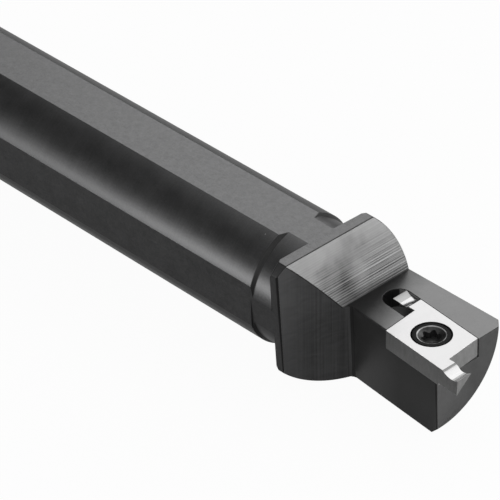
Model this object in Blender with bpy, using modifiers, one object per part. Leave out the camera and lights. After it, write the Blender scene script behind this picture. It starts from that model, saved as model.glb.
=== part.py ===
"""Left-hand grooving tool holder: a turned and milled steel bar, a two-edged grooving insert and its clamp screw.

Units are metres. +X runs along the bar from its tail to the cutting edge, +Z is up, and the origin is the
centre of the tail face. The insert's top lies at centre height, which is the bar's axis.
"""

import math

import bmesh
import bpy
from mathutils import Vector

# Bar
OVERALL_LENGTH = 0.1000          # tail face to cutting edge
SHANK_DIAMETER = 0.0160
TAIL_CHAMFER = 0.0008
TOP_FLAT_DEPTH = 0.0006          # how deep each clamping flat is milled into the round shank
BOTTOM_FLAT_DEPTH = 0.0006
SIDE_FLAT_DEPTH = 0.00045
NECK_LENGTH = 0.0034             # relief turned between the shank and the head
NECK_RELIEF = 0.00035            # how far the neck lies below the shank's surface

# Head
HEAD_DIAMETER = 0.0200
HEAD_REACH = 0.02065             # front of the head's narrow strip to the cutting edge
HEAD_STRIP = 0.00145             # width of the strip between the head's back face and its milled front
HEAD_BACK_CHAMFER = 0.0003
HEAD_SIDE_SETBACK = 0.00006      # at centre height the head's side strip lies this far behind the side flat
HEAD_SIDE_LEAN = 3.2             # degrees that the strip leans from upright, its foot further back
SIDE_STRIP_SETBACK = 0.0003      # the side strip is narrower than the top strip by this much
TOP_WALL_ANGLE = 17.5            # degrees from upright
SIDE_WALL_ANGLE = 21.3           # degrees from square to the bar
SIDE_WALL_HOLLOW = 0.00013       # how far the large cutter leaves the side wall hollow in its middle
SIDE_MILL_LEAN = 1.9             # degrees that the side cut leans from upright, its foot further back
SIDE_CORNER_RADIUS = 0.0007
TIP_OVERHANG = 0.00365           # the block's end face to the cutting edge
END_CHAMFER = 0.00095
BLOCK_SIDE_SETBACK = 0.00012     # the block's side lies this far behind the insert's side

# Insert in plan
EDGE_DISTANCE = 0.01556          # between the two cutting edges, along the bar
LONG_SIDE_ANGLE = 5.2            # degrees between the long sides and the bar
BODY_WIDTH = 0.00671             # across the long sides
EDGE_WIDTH = 0.00218             # the width of groove that it cuts
TIP_LENGTH = 0.00336             # cutting edge back to the body's end side
END_SIDE_ANGLE = 4.5             # degrees between the end sides and the cutting edge
SCREW_OFFSET = 0.00277           # the clamp screw lies this far to the far side of the bar's axis

# Insert in height
INSERT_THICKNESS = 0.0024
INSERT_PROUD = 0.0001            # top of the insert above the block's top
BREAKER_LENGTH = 0.00245
BREAKER_RADIUS = 0.0023
EDGE_DROP = 0.00012              # cutting edge below the insert's top
FRONT_RELIEF_ANGLE = 3.0
KEEL_RISE = 0.00028              # the tip's lower edge above the insert's underside, at the cutting edge
KEEL_ANGLE = 5.0                 # degrees that the tip's lower edge climbs towards the cutting edge
KEEL_START = 0.0003              # the body's end side to the start of the tip's slanting cut

# Pocket
SEAT_CLEARANCE = 0.0001          # between the insert and its pocket, all round
SLOT_WIDTH = 0.0035              # slot that takes the unused tip
SLOT_RUNOUT = 0.0014             # free length of the slot beyond the unused cutting edge

# Clamp screw and the holes that it passes through
SCREW_DIAMETER = 0.0030
SCREW_REACH = 0.0042             # length of thread below the seat
SCREW_POINT = 0.0004
SCREW_SUNK = 0.00005             # the screw's top below the insert's top
HEAD_RIM_DIAMETER = 0.00446
HEAD_RIM_CHAMFER = 0.00012
HEAD_RIM_LAND = 0.00015
HEAD_CONE_ANGLE = 60.0           # included angle
SCREW_CLEARANCE = 0.0001
RECESS_ACROSS = 0.0025           # six-lobe recess, across its lobes
RECESS_WAIST = 0.0018            # and across its waist
RECESS_DEPTH = 0.0011
RECESS_MOUTH_DIAMETER = 0.0032
RECESS_MOUTH_ANGLE = 30.0        # degrees from level
RECESS_LOBES = 6
TAPPED_SPARE = 0.0010            # tapped hole beyond the screw's point
DRILL_POINT_ANGLE = 118.0        # included angle

# Roundness, and how far a cutter stands clear of the metal
BAR_STEPS = 128
HOLE_STEPS = 64
CORNER_STEPS = 8
LOBE_STEPS = 12
WALL_STEPS = 8
SHARP_ANGLE = 15.0               # degrees between faces from which an edge looks sharp
CLEAR = 0.0040

# Places along the bar, and heights, worked out from the sizes above
SHANK_RADIUS = SHANK_DIAMETER / 2
HEAD_RADIUS = HEAD_DIAMETER / 2
NECK_RADIUS = SHANK_RADIUS - NECK_RELIEF
SHOULDER_X = OVERALL_LENGTH - HEAD_REACH
HEAD_BACK_X = SHOULDER_X - HEAD_STRIP
NECK_X = HEAD_BACK_X - NECK_LENGTH
END_FACE_X = OVERALL_LENGTH - TIP_OVERHANG
TOP_FLAT_Z = SHANK_RADIUS - TOP_FLAT_DEPTH
BOTTOM_FLAT_Z = BOTTOM_FLAT_DEPTH - SHANK_RADIUS
SIDE_FLAT_Y = SIDE_FLAT_DEPTH - SHANK_RADIUS
HEAD_SIDE_Y = SIDE_FLAT_Y + HEAD_SIDE_SETBACK
BLOCK_TOP_Z = -INSERT_PROUD
SEAT_Z = -INSERT_THICKNESS - SEAT_CLEARANCE

# Places on the insert, from the screw's axis
EDGE_X = EDGE_DISTANCE / 2
SCREW_X = OVERALL_LENGTH - EDGE_X
LONG_TURN = math.radians(LONG_SIDE_ANGLE)
LONG_SLOPE = math.tan(LONG_TURN)
END_SLOPE = math.tan(math.radians(END_SIDE_ANGLE))
EDGE_NEAR_Y = -BODY_WIDTH / 2 / math.cos(LONG_TURN) - EDGE_X * LONG_SLOPE
EDGE_FAR_Y = EDGE_NEAR_Y + EDGE_WIDTH
BODY_END_X = EDGE_X - TIP_LENGTH

# Heights on the screw
SCREW_RADIUS = SCREW_DIAMETER / 2
RIM_RADIUS = HEAD_RIM_DIAMETER / 2
SCREW_TOP_Z = -SCREW_SUNK
CONE_TOP_Z = SCREW_TOP_Z - HEAD_RIM_CHAMFER - HEAD_RIM_LAND
CONE_END_Z = CONE_TOP_Z - (RIM_RADIUS - SCREW_RADIUS) / math.tan(math.radians(HEAD_CONE_ANGLE / 2))
SCREW_TIP_Z = SEAT_Z - SCREW_REACH

HOLDER_COLLECTION = "grooving_tool_holder"
CUTTER_COLLECTION = "cutters"


def clear_scene():
    for obj in list(bpy.data.objects):
        bpy.data.objects.remove(obj, do_unlink=True)
    for name in (HOLDER_COLLECTION, CUTTER_COLLECTION):
        if name in bpy.data.collections:
            bpy.data.collections.remove(bpy.data.collections[name])
        bpy.context.scene.collection.children.link(bpy.data.collections.new(name))


def file_under(obj, collection_name):
    for collection in list(obj.users_collection):
        collection.objects.unlink(obj)
    bpy.data.collections[collection_name].objects.link(obj)


def box(name, low, high):
    """A block between two corners."""
    bpy.ops.mesh.primitive_cube_add(size=1.0, location=[(a + b) / 2 for a, b in zip(low, high)])
    obj = bpy.context.active_object
    obj.name = name
    obj.scale = [b - a for a, b in zip(low, high)]
    bpy.ops.object.transform_apply(location=False, rotation=False, scale=True)
    return obj


def prism(name, outline, low, high):
    """A flat outline in the local XY plane, extruded from one local height to another, as a closed mesh."""
    curve = bpy.data.curves.new(name, "CURVE")
    curve.dimensions = "2D"
    curve.fill_mode = "BOTH"
    curve.extrude = (high - low) / 2
    spline = curve.splines.new("POLY")
    spline.points.add(len(outline) - 1)
    for point, (x, y) in zip(spline.points, outline):
        point.co = (x, y, 0.0, 1.0)
    spline.use_cyclic_u = True
    drawn = bpy.data.objects.new(name, curve)
    bpy.context.scene.collection.objects.link(drawn)
    mesh = bpy.data.meshes.new_from_object(drawn.evaluated_get(bpy.context.evaluated_depsgraph_get()))
    bpy.data.objects.remove(drawn, do_unlink=True)

    work = bmesh.new()
    work.from_mesh(mesh)
    bmesh.ops.remove_doubles(work, verts=work.verts, dist=1e-7)
    bmesh.ops.translate(work, verts=work.verts, vec=(0.0, 0.0, (low + high) / 2))
    work.to_mesh(mesh)
    work.free()
    obj = bpy.data.objects.new(name, mesh)
    bpy.context.scene.collection.objects.link(obj)
    return obj


def turned(name, profile, steps):
    """A profile of (radius, height) points, from top to bottom, turned about the local Z axis."""
    mesh = bpy.data.meshes.new(name)
    vertices = [(radius, 0.0, height) for radius, height in profile]
    mesh.from_pydata(vertices, [(i, i + 1) for i in range(len(profile) - 1)], [])
    obj = bpy.data.objects.new(name, mesh)
    bpy.context.scene.collection.objects.link(obj)
    screw = obj.modifiers.new("turning", "SCREW")
    screw.axis = "Z"
    screw.angle = math.tau
    screw.steps = steps
    screw.render_steps = steps
    screw.use_merge_vertices = True
    screw.merge_threshold = 1e-6
    screw.use_smooth_shade = True
    return obj


def cut(target, cutter):
    file_under(cutter, CUTTER_COLLECTION)
    cutter.hide_render = True
    cutter.display_type = "WIRE"
    boolean = target.modifiers.new(cutter.name, "BOOLEAN")
    boolean.operation = "DIFFERENCE"
    boolean.solver = "EXACT"
    boolean.object = cutter


def finish(obj, material):
    """Makes the modifiers' result the object's own mesh, smooth only across its round faces."""
    result = obj.evaluated_get(bpy.context.evaluated_depsgraph_get())
    obj.data = bpy.data.meshes.new_from_object(result)
    obj.modifiers.clear()
    obj.data.shade_smooth()
    obj.data.set_sharp_from_angle(angle=math.radians(SHARP_ANGLE))
    obj.data.materials.clear()
    obj.data.materials.append(material)
    file_under(obj, HOLDER_COLLECTION)


def arc(centre, radius, start, end, steps):
    """Points along an arc, its angles in radians."""
    angles = [start + (end - start) * i / steps for i in range(steps + 1)]
    return [(centre[0] + radius * math.cos(a), centre[1] + radius * math.sin(a)) for a in angles]


def rounded_corner(before, corner, after, radius):
    """Points of the arc that rounds one corner of an outline."""
    corner = Vector(corner)
    to_before = (Vector(before) - corner).normalized()
    to_after = (Vector(after) - corner).normalized()
    half = to_before.angle(to_after) / 2
    centre = corner + (to_before + to_after).normalized() * radius / math.sin(half)
    first = corner + to_before * radius / math.tan(half) - centre
    last = corner + to_after * radius / math.tan(half) - centre
    start = math.atan2(first.y, first.x)
    sweep = (math.atan2(last.y, last.x) - start + math.pi) % math.tau - math.pi
    return arc(centre, radius, start, start + sweep, CORNER_STEPS)


def across_insert(x, width):
    """Y of a line along the insert, at x from the screw's axis and half a width to its far side."""
    return width / 2 / math.cos(LONG_TURN) - x * LONG_SLOPE


def body_end(y, clearance=0.0):
    """X of the insert body's front end side, at y from the screw's axis."""
    return BODY_END_X + clearance / math.cos(math.radians(END_SIDE_ANGLE)) - END_SLOPE * (y - EDGE_FAR_Y)


def metal(name, color, roughness, metallic):
    material = bpy.data.materials.new(name)
    material.use_nodes = True
    shader = material.node_tree.nodes["Principled BSDF"]
    shader.inputs["Base Color"].default_value = (*color, 1.0)
    shader.inputs["Roughness"].default_value = roughness
    shader.inputs["Metallic"].default_value = metallic
    return material


def half_turn(points):
    return [(-x, -y) for x, y in points]


def place_at_screw(obj, offset=(0.0, 0.0, 0.0), turned_round=False):
    """Places an object by its offset from the screw's axis at centre height, or by the same half a turn on."""
    way = -1 if turned_round else 1
    obj.location = (SCREW_X + way * offset[0], SCREW_OFFSET + way * offset[1], offset[2])
    obj.rotation_euler.z += math.pi if turned_round else 0.0
    return obj


def bar_blank():
    """The bar as it leaves the lathe: shank, neck and head."""
    profile = [
        (0.0, END_FACE_X),
        (HEAD_RADIUS - END_CHAMFER, END_FACE_X),
        (HEAD_RADIUS, END_FACE_X - END_CHAMFER),
        (HEAD_RADIUS, HEAD_BACK_X + HEAD_BACK_CHAMFER),
        (HEAD_RADIUS - HEAD_BACK_CHAMFER, HEAD_BACK_X),
        (NECK_RADIUS, HEAD_BACK_X),
        (NECK_RADIUS, NECK_X + NECK_RELIEF),
        (SHANK_RADIUS, NECK_X),
        (SHANK_RADIUS, TAIL_CHAMFER),
        (SHANK_RADIUS - TAIL_CHAMFER, 0.0),
        (0.0, 0.0),
    ]
    obj = turned("holder_body", profile, BAR_STEPS)
    obj.rotation_euler.y = math.pi / 2
    return obj


def mill_flats(body):
    """Clamping flats on top, below and on the near side."""
    out = HEAD_RADIUS + CLEAR
    past_end = END_FACE_X + CLEAR
    cut(body, box("top_flat_mill", (-CLEAR, -out, TOP_FLAT_Z), (past_end, out, out)))
    cut(body, box("bottom_flat_mill", (-CLEAR, -out, -out), (HEAD_BACK_X, out, BOTTOM_FLAT_Z)))
    cut(body, box("side_flat_mill", (-CLEAR, -out, -out), (HEAD_BACK_X, SIDE_FLAT_Y, out)))


def head_side_mill():
    """Takes the near side of neck and head down to the leaning side strip, seen in plan from the strip."""
    out = HEAD_RADIUS + CLEAR
    past_end = END_FACE_X + CLEAR
    outline = [(NECK_X, -out), (past_end, -out), (past_end, 0.0), (NECK_X, 0.0)]
    obj = prism("head_side_mill", outline, -2 * out, 2 * out)
    obj.location.y = HEAD_SIDE_Y
    obj.rotation_euler.x = math.radians(HEAD_SIDE_LEAN)
    return obj


def top_mill():
    """Takes the head's front down a sloping wall to the block's top, seen from the side as (x, z)."""
    slope = math.tan(math.radians(TOP_WALL_ANGLE))
    over = HEAD_RADIUS + CLEAR
    past_end = END_FACE_X + CLEAR
    outline = [
        (SHOULDER_X + slope * (TOP_FLAT_Z - BLOCK_TOP_Z), BLOCK_TOP_Z),
        (past_end, BLOCK_TOP_Z),
        (past_end, over),
        (SHOULDER_X + slope * (TOP_FLAT_Z - over), over),
    ]
    obj = prism("top_mill", outline, -over, over)
    obj.rotation_euler.x = math.pi / 2
    return obj


def side_mill():
    """Takes the head's near side along a sloping wall to the block's side, seen in plan, and leans a little.

    The wall is a shallow arc, straight where it passes the strip, and it meets the block in a rounded corner.
    """
    wall_slope = math.tan(math.radians(SIDE_WALL_ANGLE))
    wall_x = SHOULDER_X - SIDE_STRIP_SETBACK
    out = HEAD_RADIUS + CLEAR
    past_end = END_FACE_X + CLEAR
    side_width = 2 * BLOCK_SIDE_SETBACK - BODY_WIDTH
    side_at_wall = SCREW_OFFSET + across_insert(wall_x - SCREW_X, side_width)
    corner_y = (side_at_wall + LONG_SLOPE * wall_slope * HEAD_SIDE_Y) / (1 + LONG_SLOPE * wall_slope)
    corner = (wall_x + wall_slope * (corner_y - HEAD_SIDE_Y), corner_y)
    wall = []
    for step in range(1, WALL_STEPS):
        share = step / WALL_STEPS
        y = corner_y + (HEAD_SIDE_Y - corner_y) * share
        hollow = 4 * SIDE_WALL_HOLLOW * share * (1 - share)
        wall.append((wall_x + wall_slope * (y - HEAD_SIDE_Y) - hollow, y))
    last_x, last_y = wall[-1]
    wall.append((wall_x + (wall_x - last_x) * (out + HEAD_SIDE_Y) / (last_y - HEAD_SIDE_Y), -out))
    side_end = (past_end, SCREW_OFFSET + across_insert(past_end - SCREW_X, side_width))
    outline = [(past_end, -out), side_end]
    outline += rounded_corner(side_end, corner, wall[0], SIDE_CORNER_RADIUS) + wall
    obj = prism("side_mill", [(x - corner[0], y - corner[1]) for x, y in outline], -out, out)
    obj.location = (*corner, 0.0)
    obj.rotation_euler.x = math.radians(SIDE_MILL_LEAN)
    return obj


def pocket_mill():
    """Pocket for the insert's body with a round-ended slot for its unused tip, in plan about the screw's axis."""
    far_width = BODY_WIDTH + 2 * SEAT_CLEARANCE
    near_width = far_width - 2 * SLOT_WIDTH
    past_end = END_FACE_X + CLEAR - SCREW_X
    out = HEAD_RADIUS + CLEAR
    radius = SLOT_WIDTH / 2
    centre_x = radius - SLOT_RUNOUT - EDGE_X
    centre = (centre_x, (across_insert(centre_x, far_width) + across_insert(centre_x, near_width)) / 2)
    slot_start = math.pi / 2 - LONG_TURN
    wall_at_zero = -body_end(0.0, SEAT_CLEARANCE)
    corner_y = across_insert(wall_at_zero, near_width) / (1 - LONG_SLOPE * END_SLOPE)
    outline = [(past_end, -out), (past_end, across_insert(past_end, far_width))]
    outline += arc(centre, radius, slot_start, slot_start + math.pi, CORNER_STEPS * 3)
    outline += [(-body_end(-corner_y, SEAT_CLEARANCE), corner_y), (-body_end(out, SEAT_CLEARANCE), -out)]
    return place_at_screw(prism("pocket_mill", outline, SEAT_Z, HEAD_RADIUS))


def tapped_hole():
    """The tapped hole, left at its thread's outer diameter, with the drill's point below it."""
    radius = SCREW_RADIUS + SCREW_CLEARANCE
    bottom_z = SCREW_TIP_Z - TAPPED_SPARE
    point = radius / math.tan(math.radians(DRILL_POINT_ANGLE / 2))
    profile = [(0.0, CLEAR), (radius, CLEAR), (radius, bottom_z), (0.0, bottom_z - point)]
    return place_at_screw(turned("tapped_hole", profile, HOLE_STEPS))


def make_body():
    body = bar_blank()
    mill_flats(body)
    cut(body, head_side_mill())
    cut(body, top_mill())
    cut(body, side_mill())
    cut(body, pocket_mill())
    cut(body, tapped_hole())
    return body


def insert_blank():
    """Plan of the insert, the second half being the first turned by half a turn."""
    corner_y = across_insert(body_end(0.0), BODY_WIDTH) / (1 - LONG_SLOPE * END_SLOPE)
    half = [
        (EDGE_X, EDGE_NEAR_Y),
        (EDGE_X, EDGE_FAR_Y),
        (BODY_END_X, EDGE_FAR_Y),
        (body_end(corner_y), corner_y),
    ]
    return place_at_screw(prism("grooving_insert", half + half_turn(half), -INSERT_THICKNESS, 0.0))


def breaker_cut():
    """Round cut square to the bar that leaves the hollow behind a cutting edge, seen from the side."""
    chord = math.hypot(BREAKER_LENGTH, EDGE_DROP)
    rise = math.sqrt(BREAKER_RADIUS ** 2 - (chord / 2) ** 2)
    centre = (
        -BREAKER_LENGTH / 2 + rise * EDGE_DROP / chord,
        EDGE_DROP / 2 + rise * BREAKER_LENGTH / chord,
    )
    outline = arc(centre, BREAKER_RADIUS, 0.0, math.tau, HOLE_STEPS)[:-1]
    obj = prism("breaker_cut", outline, -BODY_WIDTH, BODY_WIDTH)
    obj.rotation_euler.x = math.pi / 2
    return obj


def front_relief_cut():
    """Leans the tip's front face back below its cutting edge, seen from the side."""
    lean = math.tan(math.radians(FRONT_RELIEF_ANGLE))
    outline = [(0.0, 0.0), (-CLEAR * lean, -CLEAR), (CLEAR, -CLEAR), (CLEAR, 0.0)]
    obj = prism("front_relief_cut", outline, -BODY_WIDTH, BODY_WIDTH)
    obj.rotation_euler.x = math.pi / 2
    return obj


def keel_cut():
    """Slanting cut that leaves the tip three-cornered below, seen from the front as (y, z)."""
    slope = (INSERT_THICKNESS - KEEL_RISE - EDGE_DROP) / EDGE_WIDTH
    outline = [(-CLEAR, -CLEAR * slope), (-CLEAR, -2 * CLEAR), (CLEAR, -2 * CLEAR), (CLEAR, CLEAR * slope)]
    obj = prism("keel_cut", outline, KEEL_START - TIP_LENGTH, CLEAR)
    obj.rotation_euler = (math.radians(90 - KEEL_ANGLE), 0.0, math.pi / 2)
    return obj


def insert_hole():
    """Countersunk hole that the screw's head and shank pass with an even clearance."""
    mouth = RIM_RADIUS + SCREW_CLEARANCE
    radius = SCREW_RADIUS + SCREW_CLEARANCE
    below = -INSERT_THICKNESS - CLEAR
    profile = [
        (0.0, CLEAR),
        (mouth, CLEAR),
        (mouth, CONE_TOP_Z),
        (radius, CONE_END_Z),
        (radius, below),
        (0.0, below),
    ]
    return place_at_screw(turned("insert_hole", profile, HOLE_STEPS))


def make_insert():
    insert = insert_blank()
    edge = (EDGE_X, EDGE_NEAR_Y, -EDGE_DROP)
    keel = (EDGE_X, EDGE_NEAR_Y, KEEL_RISE - INSERT_THICKNESS)
    for turned_round in (False, True):
        cut(insert, place_at_screw(breaker_cut(), edge, turned_round))
        cut(insert, place_at_screw(front_relief_cut(), edge, turned_round))
        cut(insert, place_at_screw(keel_cut(), keel, turned_round))
    cut(insert, insert_hole())
    return insert


def screw_blank():
    profile = [
        (0.0, SCREW_TOP_Z),
        (RIM_RADIUS - HEAD_RIM_CHAMFER, SCREW_TOP_Z),
        (RIM_RADIUS, SCREW_TOP_Z - HEAD_RIM_CHAMFER),
        (RIM_RADIUS, CONE_TOP_Z),
        (SCREW_RADIUS, CONE_END_Z),
        (SCREW_RADIUS, SCREW_TIP_Z + SCREW_POINT),
        (SCREW_RADIUS - SCREW_POINT, SCREW_TIP_Z),
        (0.0, SCREW_TIP_Z),
    ]
    return place_at_screw(turned("clamp_screw", profile, HOLE_STEPS))


def recess_mouth():
    radius = RECESS_MOUTH_DIAMETER / 2
    slope = math.tan(math.radians(RECESS_MOUTH_ANGLE))
    profile = [
        (0.0, SCREW_TOP_Z + CLEAR * slope),
        (radius + CLEAR, SCREW_TOP_Z + CLEAR * slope),
        (0.0, SCREW_TOP_Z - radius * slope),
    ]
    return place_at_screw(turned("recess_mouth", profile, HOLE_STEPS))


def six_lobe_recess():
    middle = (RECESS_ACROSS + RECESS_WAIST) / 4
    swing = (RECESS_ACROSS - RECESS_WAIST) / 4
    outline = []
    for i in range(RECESS_LOBES * LOBE_STEPS):
        angle = math.tau * i / (RECESS_LOBES * LOBE_STEPS)
        radius = middle + swing * math.cos(RECESS_LOBES * angle)
        outline.append((radius * math.cos(angle), radius * math.sin(angle)))
    return place_at_screw(prism("six_lobe_recess", outline, SCREW_TOP_Z - RECESS_DEPTH, CLEAR))


def make_screw():
    screw = screw_blank()
    cut(screw, recess_mouth())
    cut(screw, six_lobe_recess())
    return screw


def main():
    clear_scene()
    finish(make_body(), metal("blackened_steel", (0.075, 0.075, 0.078), 0.42, 0.85))
    finish(make_insert(), metal("ground_carbide", (0.72, 0.72, 0.71), 0.30, 0.90))
    finish(make_screw(), metal("black_oxide_screw", (0.030, 0.030, 0.031), 0.40, 0.70))


main()
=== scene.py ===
"""Looks of the grooving tool holder: broken edges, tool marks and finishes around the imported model.

Units are metres. +X runs along the bar to the cutting edge, +Z is up and the near side is -Y.
"""

import math

import bmesh
import bpy
from mathutils import Matrix, Vector


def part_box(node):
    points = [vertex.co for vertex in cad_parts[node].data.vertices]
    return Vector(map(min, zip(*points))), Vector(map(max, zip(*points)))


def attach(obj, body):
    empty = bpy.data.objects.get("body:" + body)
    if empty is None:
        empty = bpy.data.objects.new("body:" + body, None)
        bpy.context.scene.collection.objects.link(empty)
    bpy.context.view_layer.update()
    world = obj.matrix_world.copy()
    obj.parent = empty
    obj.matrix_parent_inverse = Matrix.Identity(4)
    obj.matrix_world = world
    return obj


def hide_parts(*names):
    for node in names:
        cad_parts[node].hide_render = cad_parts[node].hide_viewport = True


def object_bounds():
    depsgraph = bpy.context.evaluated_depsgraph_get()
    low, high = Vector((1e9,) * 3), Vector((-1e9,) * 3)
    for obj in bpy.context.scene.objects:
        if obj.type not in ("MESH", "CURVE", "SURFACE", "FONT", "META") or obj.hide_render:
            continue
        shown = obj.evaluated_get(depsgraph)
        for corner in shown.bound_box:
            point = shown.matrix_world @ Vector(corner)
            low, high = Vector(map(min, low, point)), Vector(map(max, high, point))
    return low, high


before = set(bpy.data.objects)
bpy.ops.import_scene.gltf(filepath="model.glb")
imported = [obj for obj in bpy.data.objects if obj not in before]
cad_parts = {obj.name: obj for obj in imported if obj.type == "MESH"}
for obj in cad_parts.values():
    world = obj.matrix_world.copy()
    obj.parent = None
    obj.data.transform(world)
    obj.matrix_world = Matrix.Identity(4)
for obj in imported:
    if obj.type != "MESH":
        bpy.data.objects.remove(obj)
cad_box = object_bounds()

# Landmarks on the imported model
FLOOR_HEIGHT = cad_box[0].z
INSERT_LOW, INSERT_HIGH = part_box("grooving_insert")
INSERT_MIDDLE_X = (INSERT_LOW.x + INSERT_HIGH.x) / 2
SCREW_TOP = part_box("clamp_screw")[1].z
HEAD_FRONT_X = 0.07935           # front of the head's top strip, where the head's walls start

# The photograph's camera, with angles in degrees and pixels in its frame of 500
FRAME_PIXELS = 500
SENSOR_WIDTH = 36.0              # in millimetres, as Blender's cameras have it
CAMERA_FOCAL_PIXELS = 3277.0
CAMERA_SIDE_ANGLE = 42.48        # from the bar's direction round to the near side
CAMERA_HEIGHT_ANGLE = 34.86
CAMERA_ROLL = -1.57
CAMERA_DEPTH = 0.3631            # along the view, to the point that it is aimed by
CAMERA_CLIP_START = 0.01
AIM_POINT = Vector((HEAD_FRONT_X, 0.0, 0.0))
AIM_PIXEL = (330.6, 296.2)       # where the photograph has that point

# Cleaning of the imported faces, with angles in degrees
SAME_PLACE = 2e-7                # corners closer than this become one
FLAT_ANGLE = 0.8                 # faces that turn by less than this become one
SHARP_ANGLE = 15.0               # edges that turn by more than this are shaded sharp
BROKEN_ANGLE = 22.0              # and those that turn by more than this are broken

# Broken edges: their usual widths, and those of the edges that stand out, by the finishes that meet there
BODY_EDGE = 0.00007
INSERT_EDGE = 0.000025
RECESS_MOUTH_EDGE = 0.00008
WIDE_EDGES = {
    frozenset({"ground_flat", "milled_side_wall"}): 0.00020,    # front of the head's side strip
    frozenset({"ground_flat", "milled_top_wall"}): 0.00009,     # front of the head's top strip
    frozenset({"block_side", "block_end"}): 0.00018,            # the block's upright corner at its end
    frozenset({"block_side", "block_top"}): 0.00014,            # the block's near upper edge
}
WIDEST_EDGE = 0.00030            # the bevel's own width, of which each edge takes its share
ROOM_FOR_EDGE = 1.5              # a face narrower than this many edge widths keeps its edges sharp
EDGE_SEGMENTS = 2

# Steel of the holder: colours as (red, green, blue), and how metallic and how rough it is
STEEL = (0.082, 0.082, 0.083)
# painted light: a lighter copy of the steel for the top wall
TOP_WALL_LIT_STEEL = (0.118, 0.118, 0.118)
# painted shade: a darker copy of the steel for the block's near side and its corner
BLOCK_SIDE_SHADED_STEEL = (0.034, 0.034, 0.034)
# painted light: lighter copies of the steel for the block's top and its end
BLOCK_TOP_LIT_STEEL = (0.124, 0.124, 0.124)
BLOCK_END_LIT_STEEL = (0.10, 0.10, 0.10)
# painted light: a lighter, matt copy of the steel for the shaded pocket
POCKET_LIT_STEEL = (0.30, 0.30, 0.30)
# painted shade: a dark copy of the steel for the steps and the holder's broken edges
SHADED_STEEL = (0.03, 0.03, 0.03)
STEEL_METALLIC = 0.8
STEEL_ROUGHNESS = 0.34
POCKET_METALLIC = 0.0

# Carbide of the insert
CARBIDE = (0.392, 0.39, 0.391)
# a darker carbide for the insert's sides, and as painted shade on the hollows' steeper flanks
SIDE_AND_SHADED_FLANK_CARBIDE = (0.25, 0.25, 0.249)
CARBIDE_METALLIC = 1.0
HOLLOW_LINES = (5000.0, 400.0, 400.0)        # grinding lines per metre along X, Y and Z
INSERT_SIDE_LINES = (2600.0, 2600.0, 900.0)

# The screw's black coat and the bare steel under it
SCREW_BLACK = (0.009, 0.009, 0.009)
RECESS_MOUTH_STEEL = (0.030, 0.030, 0.030)
RECESS_STEEL = (0.06, 0.06, 0.06)
# wear and painted highlight: a lighter rim round the recess's mouth
WORN_AND_HIGHLIGHTED_RIM = (0.13, 0.13, 0.13)
HIGHLIGHT_SPREAD = 0.0010             # from the screw's middle to where its painted highlight, lighter towards the tail, is full or gone
DARKEST_TONE = 0.15              # share of its colour that the coat keeps at least

# Marks on the head's walls; the places across a wall are along Y
CUTTER_FEED = 0.00029                        # top wall: from one of the cutter's lines to the next, upwards
LINES_HEIGHTS = (0.0054, 0.0020)             # top wall: its lines are faint above and strong below, and the painted shade grows with them
FOOT_HEIGHTS = (0.0005, 0.0002)              # top wall: the painted shade along its foot starts and is full
SHADED_PATCH_PLACE = (0.0, 0.0013, 0.0038)           # top wall: middle of the patch of painted shade, with no place along X
SHADED_PATCH_RADII = (0.0008, 0.0040)                # top wall: the patch is full inside and gone outside
SIDE_LINES_PLACES = (-0.0062, -0.0030)       # side wall: its lines are faint and strong
SIDE_LIT_BAND_PLACES = (-0.0045, -0.0073)        # side wall: the band of painted light by the strip starts and is full
WALL_CLOUD_SHIFT = 0.0012                    # how far clouds push the borders of such marks about
BLOCK_CLOUD_SHIFT = 0.0006

# Painted light and shade on the block as (direction, two distances along it from the origin, tones at those
# distances)
# the near side painted lighter towards the tail, the top painted darker near the wall's foot, the end lighter
# on the near side and darker on the far side
BLOCK_SIDE_PAINTED_LIGHT = ((1.0, 0.0, 0.0), (0.084, 0.090), (2.6, 1.0))
BLOCK_TOP_PAINTED_SHADE = ((1.0, 0.4, 0.0), (0.0844, 0.0893), (0.22, 1.0))
BLOCK_END_PAINTED_LIGHT_AND_SHADE = ((0.0, 1.0, 0.0), (-0.006, 0.005), (1.7, 0.78))

# What tells one kind of face from another: how much of its normal points along an axis
STRAIGHT = 0.9999
NEARLY_STRAIGHT = 0.99
MOSTLY = 0.9
ROUGHLY = 0.6
PARTLY = 0.3
SLIGHTLY = 0.2
HARDLY = 0.001
HOLLOW_LEAN = (-0.12, 0.45)      # towards the nearer tip, for the gentle faces of the insert's hollows
RIM_RISE = (0.5, 0.8)            # upwards, for the screw's rim
MOUTH_RISE = (0.8, 0.95)         # upwards, for the cone of the recess's mouth

# And how high its middle lies
BLOCK_TOP_FLOOR = INSERT_HIGH.z - 0.0005     # the block's top lies above this, its pocket's floor below
NEAR_SIDE_TOP = INSERT_LOW.z - 0.0004        # the block's near side lies below this
SCREW_RIM_FLOOR = SCREW_TOP - 0.00055        # the screw's top lies above this, its recess's floor below

# Light: the surroundings for matt surfaces, and how plainly white the floor shows
WHITE = (1.0, 1.0, 1.0, 1.0)
AMBIENT = 0.35
FLOOR_COLOR = (0.9, 0.9, 0.9, 1.0)
FLOOR_SIZE = 6.0
FLOOR_WHITE_TO_CAMERA = 0.96
FLOOR_WHITE_TO_METAL = 0.2

# Lamps as (name, place, width, height, radiance), each facing the head
LAMPS = [
    ("back_softbox", (-0.075, 0.33, 0.30), 0.50, 0.42, 1.36),
    ("left_strip", (0.02, -0.11, 0.0005), 0.16, 0.020, 3.0),
    ("band_strip", (0.02, -0.115, 0.010), 0.07, 0.030, 3.2),
    ("right_strip", (0.165, 0.055, 0.005), 0.12, 0.028, 5.5),
]

# Grey cards that only show in the metal, as (name, place, width, height, level), each facing the head
FLAGS = [
    ("overhead_flag", (-0.15, -0.11, 0.17), 0.40, 0.20, 0.02),
    ("far_flag", (-0.28, 0.40, 0.05), 0.90, 0.17, 0.08),
]

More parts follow.
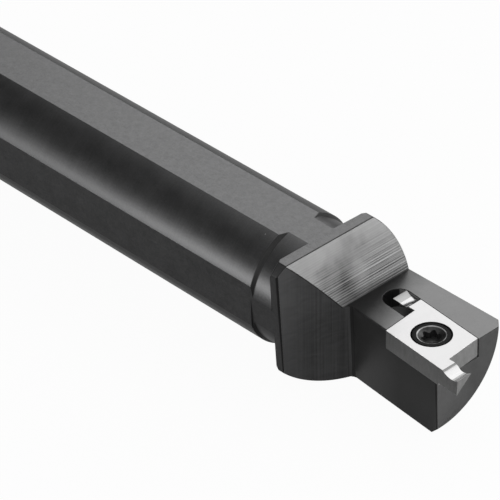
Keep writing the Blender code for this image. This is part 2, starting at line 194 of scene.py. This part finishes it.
# And those that lie just above the floor, as (name, low corner, high corner, level)
FLOOR_FLAGS = [
    ("near_flag", (-0.12, -0.15), (0.13, -0.006), 0.22),
    ("far_floor_flag", (-0.50, 0.012), (0.06, 0.40), 0.42),
]
FLOOR_FLAG_LIFT = 0.0001

# Blender's noise lies almost wholly in this span
NOISE_SPAN = (0.25, 0.75)


def link(obj):
    bpy.context.scene.collection.objects.link(obj)
    return obj


def direction(side_angle, height_angle):
    """Unit vector away from the object; the side angle turns from +X round to the near side."""
    side = math.radians(side_angle)
    height = math.radians(height_angle)
    level = math.cos(height)
    return Vector((level * math.cos(side), -level * math.sin(side), math.sin(height)))


def make_camera():
    """The photograph's camera, which shows the aim point at the aim pixel."""
    back = direction(CAMERA_SIDE_ANGLE, CAMERA_HEIGHT_ANGLE)
    turn = Matrix.Rotation(math.radians(CAMERA_ROLL), 3, back)
    right = turn @ Vector((0.0, 0.0, 1.0)).cross(back).normalized()
    up = back.cross(right)
    data = bpy.data.cameras.new("photo_camera")
    data.sensor_width = SENSOR_WIDTH
    data.lens = SENSOR_WIDTH * CAMERA_FOCAL_PIXELS / FRAME_PIXELS
    data.clip_start = CAMERA_CLIP_START
    camera = link(bpy.data.objects.new("photo_camera", data))
    across = (AIM_PIXEL[0] - FRAME_PIXELS / 2) / CAMERA_FOCAL_PIXELS * CAMERA_DEPTH
    down = (AIM_PIXEL[1] - FRAME_PIXELS / 2) / CAMERA_FOCAL_PIXELS * CAMERA_DEPTH
    place = Matrix((right, up, back)).transposed().to_4x4()
    place.translation = AIM_POINT + back * CAMERA_DEPTH - right * across + up * down
    camera.matrix_world = place
    bpy.context.scene.camera = camera


def add_node(tree, kind, inputs=None, output=0, **settings):
    """Adds a node, sets or links its inputs and returns one of its outputs."""
    made = tree.nodes.new(kind)
    for key, value in settings.items():
        setattr(made, key, value)
    for key, value in (inputs or {}).items():
        if isinstance(value, bpy.types.NodeSocket):
            tree.links.new(value, made.inputs[key])
        else:
            made.inputs[key].default_value = value
    return made.outputs[output]


def add_output(tree, kind, surface):
    made = tree.nodes.new(kind)
    tree.links.new(surface, made.inputs["Surface"])


def maths(tree, operation, a, b=0.0):
    return add_node(tree, "ShaderNodeMath", {0: a, 1: b}, operation=operation)


def vector_maths(tree, operation, a, b, output="Vector"):
    return add_node(tree, "ShaderNodeVectorMath", {0: a, 1: b}, output=output, operation=operation)


def bare_tree(owner):
    """The emptied node tree of a world or a material."""
    owner.use_nodes = True
    owner.node_tree.nodes.clear()
    return owner.node_tree


def plain_view(tree, to_camera, to_metal):
    """How plainly white something shows: one share for camera rays and one for what metal or glass shows."""
    path = tree.nodes.new("ShaderNodeLightPath").outputs
    mirrored = maths(tree, "MAXIMUM", path["Is Glossy Ray"], path["Is Transmission Ray"])
    seen = maths(tree, "MULTIPLY", path["Is Camera Ray"], to_camera)
    return maths(tree, "MAXIMUM", seen, maths(tree, "MULTIPLY", mirrored, to_metal))


def make_world():
    """Plain white where it is seen or mirrored, and a softer light on matt surfaces."""
    world = bpy.data.worlds.new("studio")
    bpy.context.scene.world = world
    tree = bare_tree(world)
    ambient = add_node(tree, "ShaderNodeBackground", {"Color": WHITE, "Strength": AMBIENT})
    plain = add_node(tree, "ShaderNodeBackground", {"Color": WHITE, "Strength": 1.0})
    shown = add_node(tree, "ShaderNodeMixShader", {0: plain_view(tree, 1.0, 1.0), 1: ambient, 2: plain})
    add_output(tree, "ShaderNodeOutputWorld", shown)


def floor_finish():
    """Pale and matt under the light, and nearly plain white to the camera."""
    material = bpy.data.materials.new("pale_floor")
    tree = bare_tree(material)
    matt = add_node(tree, "ShaderNodeBsdfDiffuse", {"Color": FLOOR_COLOR})
    plain = add_node(tree, "ShaderNodeEmission", {"Color": WHITE, "Strength": 1.0})
    share = plain_view(tree, FLOOR_WHITE_TO_CAMERA, FLOOR_WHITE_TO_METAL)
    shown = add_node(tree, "ShaderNodeMixShader", {0: share, 1: matt, 2: plain})
    add_output(tree, "ShaderNodeOutputMaterial", shown)
    return material


def make_card(name, width, height):
    """A flat card that belongs to the stage; it starts as a square with half a side of 0.5."""
    mesh = bpy.data.meshes.new(name)
    work = bmesh.new()
    bmesh.ops.create_grid(work, x_segments=1, y_segments=1, size=0.5)
    bmesh.ops.scale(work, verts=work.verts, vec=(width, height, 1.0))
    work.to_mesh(mesh)
    work.free()
    card = link(bpy.data.objects.new(name, mesh))
    return card


def make_floor():
    floor = make_card("floor", FLOOR_SIZE, FLOOR_SIZE)
    floor.location.z = FLOOR_HEIGHT
    floor.data.materials.append(floor_finish())


def aim(obj, place):
    """Puts something at a place and turns its -Z side to the head."""
    obj.location = place
    obj.rotation_euler = (obj.location - AIM_POINT).to_track_quat("Z", "Y").to_euler()


def make_lamp(name, place, width, height, radiance):
    data = bpy.data.lights.new(name, "AREA")
    data.shape = "RECTANGLE"
    data.size = width
    data.size_y = height
    data.energy = radiance * math.pi * width * height
    lamp = link(bpy.data.objects.new(name, data))
    aim(lamp, place)
    lamp.visible_camera = False


def make_flag(name, width, height, level):
    """A card of an even grey that is seen only by the metal."""
    card = make_card(name, width, height)
    card.visible_camera = False
    card.visible_diffuse = False
    card.visible_shadow = False
    material = bpy.data.materials.new(name)
    tree = bare_tree(material)
    grey = add_node(tree, "ShaderNodeEmission", {"Color": (level, level, level, 1.0), "Strength": 1.0})
    add_output(tree, "ShaderNodeOutputMaterial", grey)
    card.data.materials.append(material)
    return card


def make_flags():
    for name, place, width, height, level in FLAGS:
        aim(make_flag(name, width, height, level), place)
    for name, (low_x, low_y), (high_x, high_y), level in FLOOR_FLAGS:
        card = make_flag(name, high_x - low_x, high_y - low_y, level)
        card.location = ((low_x + high_x) / 2, (low_y + high_y) / 2, FLOOR_HEIGHT + FLOOR_FLAG_LIFT)


def new_finish(name, roughness, metallic):
    """A new material's node tree and Principled shader, and the place on the object in metres."""
    material = bpy.data.materials.new(name)
    material.use_nodes = True
    tree = material.node_tree
    shader = tree.nodes["Principled BSDF"]
    shader.inputs["Roughness"].default_value = roughness
    shader.inputs["Metallic"].default_value = metallic
    return tree, shader, add_node(tree, "ShaderNodeTexCoord", output="Object")


def remap(tree, value, span, results):
    """Turns a span of values into a span of results, and holds the results at both ends."""
    inputs = {0: value, 1: span[0], 2: span[1], 3: results[0], 4: results[1]}
    return add_node(tree, "ShaderNodeMapRange", inputs)


def along(tree, place, axis):
    """One coordinate of the place."""
    return add_node(tree, "ShaderNodeSeparateXYZ", {0: place}, output=axis)


def total(tree, base, *shares):
    """A base value plus each (pattern, amount) pair."""
    result = base
    for pattern, amount in shares:
        inputs = {0: pattern, 1: amount, 2: result}
        result = add_node(tree, "ShaderNodeMath", inputs, operation="MULTIPLY_ADD")
    return result


def even(per_metre):
    """The same fineness along X, Y and Z."""
    return (per_metre, per_metre, per_metre)


def grain(tree, place, per_metre, detail=2.0, distortion=0.0):
    """Noise from -1 to 1, with its fineness along X, Y and Z in waves per metre."""
    scaled = vector_maths(tree, "MULTIPLY", place, per_metre)
    inputs = {"Vector": scaled, "Scale": 1.0, "Detail": detail, "Distortion": distortion}
    return remap(tree, add_node(tree, "ShaderNodeTexNoise", inputs), NOISE_SPAN, (-1.0, 1.0))


def specks(tree, place, per_metre, radius, share):
    """Small round spots, 1 inside and 0 outside, in a share of the cells of a scatter of points."""
    cells = tree.nodes.new("ShaderNodeTexVoronoi")
    tree.links.new(place, cells.inputs["Vector"])
    cells.inputs["Scale"].default_value = per_metre
    near = maths(tree, "LESS_THAN", cells.outputs["Distance"], radius * per_metre)
    chosen = maths(tree, "LESS_THAN", along(tree, cells.outputs["Color"], "X"), share)
    return maths(tree, "MULTIPLY", near, chosen)


def paint(tree, shader, color, tone):
    """The colour, made lighter and darker by a tone around 1."""
    shaded = add_node(tree, "ShaderNodeVectorMath", {0: color, "Scale": tone}, operation="SCALE")
    tree.links.new(shaded, shader.inputs["Base Color"])


def roughen(tree, shader, roughness):
    tree.links.new(roughness, shader.inputs["Roughness"])


def emboss(tree, shader, pattern, depth):
    """Relief of the given depth in metres."""
    bump = add_node(tree, "ShaderNodeBump", {"Height": pattern, "Distance": depth, "Strength": 1.0})
    tree.links.new(bump, shader.inputs["Normal"])


def turned_finish():
    """Fine rings around the bar, soft clouds and a few light specks."""
    tree, shader, place = new_finish("turned_steel", STEEL_ROUGHNESS, STEEL_METALLIC)
    rings = grain(tree, place, per_metre=(9000.0, 120.0, 120.0), detail=3.0)
    fine = grain(tree, place, per_metre=even(5200.0), detail=3.0)
    clouds = grain(tree, place, per_metre=(420.0, 500.0, 500.0), detail=4.0)
    dots = specks(tree, place, per_metre=330.0, radius=0.00009, share=0.14)
    paint(tree, shader, STEEL, total(tree, 1.0, (rings, 0.06), (fine, 0.10), (clouds, 0.08), (dots, 1.6)))
    roughen(tree, shader, total(tree, STEEL_ROUGHNESS, (rings, 0.015), (fine, 0.02), (clouds, 0.02)))
    emboss(tree, shader, rings, depth=0.0000004)


def flat_finish():
    """Ground flats: an even fine grain with faint clouds, light dots and dark pits."""
    tree, shader, place = new_finish("ground_flat", STEEL_ROUGHNESS, STEEL_METALLIC)
    lines = grain(tree, place, per_metre=(500.0, 7000.0, 7000.0), detail=3.0)
    fine = grain(tree, place, per_metre=even(6000.0), detail=3.0)
    clouds = grain(tree, place, per_metre=even(380.0), detail=4.0)
    patches = grain(tree, place, per_metre=even(1500.0), detail=4.0, distortion=0.8)
    dots = specks(tree, place, per_metre=400.0, radius=0.00009, share=0.07)
    pits = specks(tree, place, per_metre=310.0, radius=0.00011, share=0.08)
    marks = [(lines, 0.06), (fine, 0.18), (clouds, 0.07), (patches, 0.14), (dots, 0.9), (pits, -0.6)]
    paint(tree, shader, STEEL, total(tree, 1.0, *marks))
    roughen(tree, shader, total(tree, STEEL_ROUGHNESS, (fine, 0.03), (clouds, 0.03)))
    emboss(tree, shader, fine, depth=0.0000006)


def cutter_lines(tree, place, height, strength):
    """The cutter's lines on the top wall: even ridges that waver, with coarse and fine lines among them."""
    lines = grain(tree, place, per_metre=(0.0, 30.0, 3600.0), detail=3.0, distortion=0.1)
    finer = grain(tree, place, per_metre=(0.0, 60.0, 8500.0), distortion=0.1)
    phase = maths(tree, "MULTIPLY", height, 2 * math.pi / CUTTER_FEED)
    ridges = maths(tree, "SINE", total(tree, phase, (lines, 1.6)))
    together = total(tree, 0.0, (ridges, 0.22), (lines, 0.45), (finer, 0.35))
    return maths(tree, "MULTIPLY", together, strength)


def top_wall_finish():
    """Cloudy, the cutter's lines growing towards the foot, and painted shade low down, along the foot and in
    a patch.
    """
    tree, shader, place = new_finish("milled_top_wall", STEEL_ROUGHNESS, STEEL_METALLIC)
    height = along(tree, place, "Z")
    clouds = grain(tree, place, per_metre=(260.0, 240.0, 240.0), detail=4.0)
    clouded_height = total(tree, height, (clouds, WALL_CLOUD_SHIFT))
    low_down = remap(tree, clouded_height, LINES_HEIGHTS, (0.12, 1.0))
    lines = cutter_lines(tree, place, height, low_down)
    # painted shade along the wall's foot, where it meets the block's top
    foot = remap(tree, height, FOOT_HEIGHTS, (0.0, -0.12))
    # painted shade in a darker patch
    on_wall = vector_maths(tree, "MULTIPLY", place, (0.0, 1.0, 1.0))
    from_shaded_patch = vector_maths(tree, "DISTANCE", on_wall, SHADED_PATCH_PLACE, output="Value")
    shaded_patch = remap(tree, total(tree, from_shaded_patch, (clouds, WALL_CLOUD_SHIFT)), SHADED_PATCH_RADII, (-0.40, 0.0))
    # painted shade: low_down also darkens the wall lower down
    marks = [(lines, 1.0), (clouds, 0.2), (low_down, -0.25), (foot, 1.0), (shaded_patch, 1.0)]
    # painted light: the wall's colour is a lighter copy of the steel
    paint(tree, shader, TOP_WALL_LIT_STEEL, total(tree, 1.02, *marks))
    roughen(tree, shader, total(tree, STEEL_ROUGHNESS, (clouds, 0.04), (lines, -0.04)))
    emboss(tree, shader, lines, depth=0.000008)


def side_wall_finish():
    """Upright cutter's lines, faint arcs of the large cutter and a band of painted light beside the strip."""
    tree, shader, place = new_finish("milled_side_wall", STEEL_ROUGHNESS, STEEL_METALLIC)
    across = along(tree, place, "Y")
    arcs = grain(tree, place, per_metre=(350.0, 350.0, 900.0), detail=3.0, distortion=1.5)
    even_lines = grain(tree, place, per_metre=(0.0, 4300.0, 60.0), detail=3.0, distortion=0.1)
    lines = maths(tree, "MULTIPLY", even_lines, remap(tree, across, SIDE_LINES_PLACES, (0.06, 0.26)))
    # painted light: a lighter band beside the strip
    band = remap(tree, across, SIDE_LIT_BAND_PLACES, (0.0, 1.0))
    paint(tree, shader, STEEL, total(tree, 0.9, (lines, 1.0), (arcs, 0.13), (band, 0.50)))
    roughen(tree, shader, total(tree, STEEL_ROUGHNESS, (arcs, 0.04), (lines, 0.15)))
    emboss(tree, shader, lines, depth=0.000008)


def block_finish(name, color, cloudiness, metallic=STEEL_METALLIC, painted_light_and_shade=None):
    """Fine grain with clouds, and perhaps painted light and shade along a direction, for the block and for
    small faces painted dark as shade.
    """
    tree, shader, place = new_finish(name, STEEL_ROUGHNESS, metallic)
    fine = grain(tree, place, per_metre=(5000.0, 5000.0, 2500.0), detail=3.0)
    clouds = grain(tree, place, per_metre=even(420.0), detail=4.0)
    tone = total(tree, 1.0, (fine, 0.07), (clouds, cloudiness))
    # painted light and shade: the tone is scaled along a direction
    if painted_light_and_shade:
        way, distances, tones = painted_light_and_shade
        distance = vector_maths(tree, "DOT_PRODUCT", place, way, output="Value")
        clouded = total(tree, distance, (clouds, BLOCK_CLOUD_SHIFT))
        tone = maths(tree, "MULTIPLY", tone, remap(tree, clouded, distances, tones))
    paint(tree, shader, color, tone)
    roughen(tree, shader, total(tree, STEEL_ROUGHNESS, (fine, 0.03), (clouds, 0.04)))
    emboss(tree, shader, fine, depth=0.0000006)


def carbide_finish(name, color, roughness, per_metre, strength):
    """Ground carbide: lines or clouds, by their fineness each way, and a faint speckle."""
    tree, shader, place = new_finish(name, roughness, CARBIDE_METALLIC)
    lines = grain(tree, place, per_metre, detail=3.0)
    speckle = grain(tree, place, per_metre=even(6500.0))
    paint(tree, shader, color, total(tree, 1.0, (lines, strength), (speckle, strength * 0.6)))
    roughen(tree, shader, total(tree, roughness, (lines, 0.04), (speckle, 0.03)))
    emboss(tree, shader, lines, depth=0.000001)


def screw_finish(name, color, roughness, metallic, specular, wear_and_highlight=0.0):
    """A thin mottled coat, which wear makes patchy, with a painted highlight that makes it lighter towards
    the tail.
    """
    tree, shader, place = new_finish(name, roughness, metallic)
    shader.inputs["Specular IOR Level"].default_value = specular
    mottle = grain(tree, place, per_metre=even(4200.0), detail=4.0)
    patches = grain(tree, place, per_metre=even(1100.0))
    # painted highlight: lighter towards the tail and darker towards the head
    highlight_places = (INSERT_MIDDLE_X - HIGHLIGHT_SPREAD, INSERT_MIDDLE_X + HIGHLIGHT_SPREAD)
    highlight_tailward = remap(tree, along(tree, place, "X"), highlight_places, (1.0, -1.0))
    tone = total(tree, 1.0, (mottle, 0.35), (patches, wear_and_highlight), (highlight_tailward, wear_and_highlight * 0.6))
    paint(tree, shader, color, maths(tree, "MAXIMUM", tone, DARKEST_TONE))
    roughen(tree, shader, total(tree, roughness, (mottle, 0.08)))
    emboss(tree, shader, mottle, depth=0.0000015)


def make_finishes():
    turned_finish()
    flat_finish()
    top_wall_finish()
    side_wall_finish()
    # painted light and shade: the block's faces take lighter or darker copies of the steel, some with tones
    # along a direction
    block_finish("block_side", BLOCK_SIDE_SHADED_STEEL, cloudiness=0.07, painted_light_and_shade=BLOCK_SIDE_PAINTED_LIGHT)
    block_finish("block_corner", BLOCK_SIDE_SHADED_STEEL, cloudiness=0.07)
    block_finish("block_top", BLOCK_TOP_LIT_STEEL, cloudiness=0.10, painted_light_and_shade=BLOCK_TOP_PAINTED_SHADE)
    block_finish("block_end", BLOCK_END_LIT_STEEL, cloudiness=0.14, painted_light_and_shade=BLOCK_END_PAINTED_LIGHT_AND_SHADE)
    # painted light: the pocket is a lighter, matt copy of the steel
    block_finish("pocket", POCKET_LIT_STEEL, cloudiness=0.10, metallic=POCKET_METALLIC)
    # painted shade: the steps and the broken edges are a dark copy of the steel
    block_finish("shaded_step", SHADED_STEEL, cloudiness=0.25)
    block_finish("shaded_broken_edge", SHADED_STEEL, cloudiness=0.25)
    carbide_finish("ground_top", CARBIDE, roughness=0.34, per_metre=even(900.0), strength=0.03)
    carbide_finish("ground_hollow", CARBIDE, roughness=0.19, per_metre=HOLLOW_LINES, strength=0.05)
    # painted shade: the hollows' steeper flanks take the darker carbide
    carbide_finish("hollow_flank", SIDE_AND_SHADED_FLANK_CARBIDE, roughness=0.30, per_metre=HOLLOW_LINES, strength=0.08)
    carbide_finish("ground_side", SIDE_AND_SHADED_FLANK_CARBIDE, roughness=0.34, per_metre=INSERT_SIDE_LINES, strength=0.12)
    carbide_finish("cutting_edge", CARBIDE, roughness=0.30, per_metre=even(900.0), strength=0.05)
    screw_finish("screw_face", SCREW_BLACK, roughness=0.5, metallic=0.0, specular=0.05)
    # wear, with a painted highlight towards the tail, on the recess's mouth and on the rim
    screw_finish("recess_mouth", RECESS_MOUTH_STEEL, roughness=0.35, metallic=0.8, specular=0.3, wear_and_highlight=0.9)
    screw_finish("screw_recess", RECESS_STEEL, roughness=0.4, metallic=0.3, specular=0.3)
    screw_finish("worn_and_highlighted_rim", WORN_AND_HIGHLIGHTED_RIM, roughness=0.3, metallic=1.0, specular=0.5, wear_and_highlight=0.8)


# Finishes of each piece, with that of its broken edges last, and all those that go on flat faces
BODY_FINISHES = [
    "turned_steel",
    "ground_flat",
    "milled_top_wall",
    "milled_side_wall",
    "block_side",
    "block_corner",
    "block_top",
    "block_end",
    "pocket",
    "shaded_step",
    "shaded_broken_edge",
]
INSERT_FINISHES = ["ground_top", "ground_hollow", "hollow_flank", "ground_side", "cutting_edge"]
SCREW_FINISHES = ["screw_face", "recess_mouth", "screw_recess", "worn_and_highlighted_rim"]
FLAT_FINISHES = ["ground_flat", "milled_top_wall", "block_side", "block_top", "block_end", "ground_top"]


def within(value, span):
    return span[0] < value < span[1]


def bar_finish_of(normal):
    """Finish of a face of the shank, the neck or the head: a step painted dark as shade, a flat or turned
    steel.
    """
    # the steps between the bar's parts are painted dark as shade
    if SLIGHTLY < normal.x < STRAIGHT:
        return "shaded_step"
    if max(normal.x, abs(normal.z)) > STRAIGHT:
        return "ground_flat"
    near_side = normal.y < -NEARLY_STRAIGHT and abs(normal.x) < HARDLY
    return "ground_flat" if near_side else "turned_steel"


def block_finish_of(normal, centre):
    """Finish of a face of the block: round back, end, chamfer, near side, top, or pocket."""
    from_axis = Vector((0.0, centre.y, centre.z)).normalized()
    if from_axis.dot(normal) > NEARLY_STRAIGHT:
        return "turned_steel"
    if normal.x > STRAIGHT:
        return "block_end"
    if normal.x > ROUGHLY:
        return "turned_steel"
    if normal.y < -PARTLY and centre.z < NEAR_SIDE_TOP:
        return "block_side" if normal.y < -NEARLY_STRAIGHT else "block_corner"
    if normal.z > STRAIGHT and centre.z > BLOCK_TOP_FLOOR:
        return "block_top"
    return "pocket"


def body_finish_of(face):
    """Finish of one of the holder's faces, from where it lies and which way it looks."""
    normal = face.normal
    centre = face.calc_center_median()
    if normal.x > MOSTLY and normal.z > SLIGHTLY:
        return "milled_top_wall"
    if normal.x > MOSTLY and normal.y < -SLIGHTLY:
        return "milled_side_wall"
    return bar_finish_of(normal) if centre.x < HEAD_FRONT_X else block_finish_of(normal, centre)


def insert_finish_of(face):
    """Finish of the insert's top, of its sides, or of a hollow with its steeper flanks, which are painted
    darker as shade.
    """
    if face.normal.z > STRAIGHT:
        return "ground_top"
    if face.normal.z < PARTLY:
        return "ground_side"
    to_nearer_tip = math.copysign(1.0, face.calc_center_median().x - INSERT_MIDDLE_X)
    return "ground_hollow" if within(face.normal.x * to_nearer_tip, HOLLOW_LEAN) else "hollow_flank"


def screw_finish_of(face):
    """Finish of the screw's top with its rim, of the cone of the recess's mouth, or of all the rest."""
    rise = face.normal.z
    if within(rise, MOUTH_RISE):
        return "recess_mouth"
    on_top = rise > MOUTH_RISE[1] and face.calc_center_median().z >= SCREW_RIM_FLOOR
    return "screw_face" if on_top or within(rise, RIM_RISE) else "screw_recess"


def finishes_at(edge, finishes):
    """The finishes that meet at an edge."""
    return frozenset(finishes[face.material_index] for face in edge.link_faces)


def mean_width(face):
    """Width of a long narrow face; half a side of a square one."""
    return 2 * face.calc_area() / face.calc_perimeter()


def edge_width_of_body(edge):
    """How wide one of the holder's edges is broken, if its faces have room for that."""
    meeting = finishes_at(edge, BODY_FINISHES)
    narrowest = min(mean_width(face) for face in edge.link_faces)
    if "block_corner" in meeting or narrowest < ROOM_FOR_EDGE * BODY_EDGE:
        return 0.0
    return WIDE_EDGES.get(meeting, BODY_EDGE)


def edge_width_of_insert(edge):
    """The insert's edges are broken a little, apart from the sharp ones around its hollows."""
    return 0.0 if finishes_at(edge, INSERT_FINISHES) & {"ground_hollow", "hollow_flank"} else INSERT_EDGE


def edge_width_of_screw(edge):
    """Only the edge between the screw's top and its recess's mouth is broken."""
    at_mouth = finishes_at(edge, SCREW_FINISHES) == {"screw_face", "recess_mouth"}
    return RECESS_MOUTH_EDGE if at_mouth else 0.0


def dressed_mesh(node, finishes, finish_of, edge_width_of):
    """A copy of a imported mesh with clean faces, a finish for each, and how far each edge is broken."""
    mesh = bpy.data.meshes.new(node + "_dressed")
    work = bmesh.new()
    work.from_mesh(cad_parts[node].data)
    bmesh.ops.remove_doubles(work, verts=work.verts, dist=SAME_PLACE)
    bmesh.ops.dissolve_limit(
        work, angle_limit=math.radians(FLAT_ANGLE), use_dissolve_boundaries=False,
        verts=work.verts, edges=work.edges,
    )
    work.normal_update()
    for face in work.faces:
        finish = finish_of(face)
        face.material_index = finishes.index(finish)
        face.smooth = finish not in FLAT_FINISHES
    weight = work.edges.layers.float.new("bevel_weight_edge")
    for edge in work.edges:
        if len(edge.link_faces) == 2 and edge.calc_face_angle() > math.radians(BROKEN_ANGLE):
            edge[weight] = edge_width_of(edge) / WIDEST_EDGE
    work.to_mesh(mesh)
    work.free()
    if "custom_normal" in mesh.attributes:
        mesh.attributes.remove(mesh.attributes["custom_normal"])
    mesh.set_sharp_from_angle(angle=math.radians(SHARP_ANGLE))
    for finish in finishes:
        mesh.materials.append(bpy.data.materials[finish])
    return mesh


def break_edges(piece, finishes):
    """Bevels the weighted edges, with the last of the finishes on them."""
    bevel = piece.modifiers.new("broken edges", "BEVEL")
    bevel.limit_method = "WEIGHT"
    bevel.width = WIDEST_EDGE
    bevel.segments = EDGE_SEGMENTS
    bevel.use_clamp_overlap = False
    bevel.harden_normals = True
    bevel.material = len(finishes) - 1


def dress(node, finishes, finish_of, edge_width_of):
    """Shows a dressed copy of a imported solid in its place."""
    mesh = dressed_mesh(node, finishes, finish_of, edge_width_of)
    piece = link(bpy.data.objects.new(node + "_dressed", mesh))
    break_edges(piece, finishes)
    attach(piece, "root")
    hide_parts(node)


make_camera()
make_world()
make_floor()
for lamp in LAMPS:
    make_lamp(*lamp)
make_flags()
make_finishes()
dress("holder_body", BODY_FINISHES, body_finish_of, edge_width_of_body)
dress("grooving_insert", INSERT_FINISHES, insert_finish_of, edge_width_of_insert)
dress("clamp_screw", SCREW_FINISHES, screw_finish_of, edge_width_of_screw)

bpy.context.scene.view_settings.view_transform = "Standard"
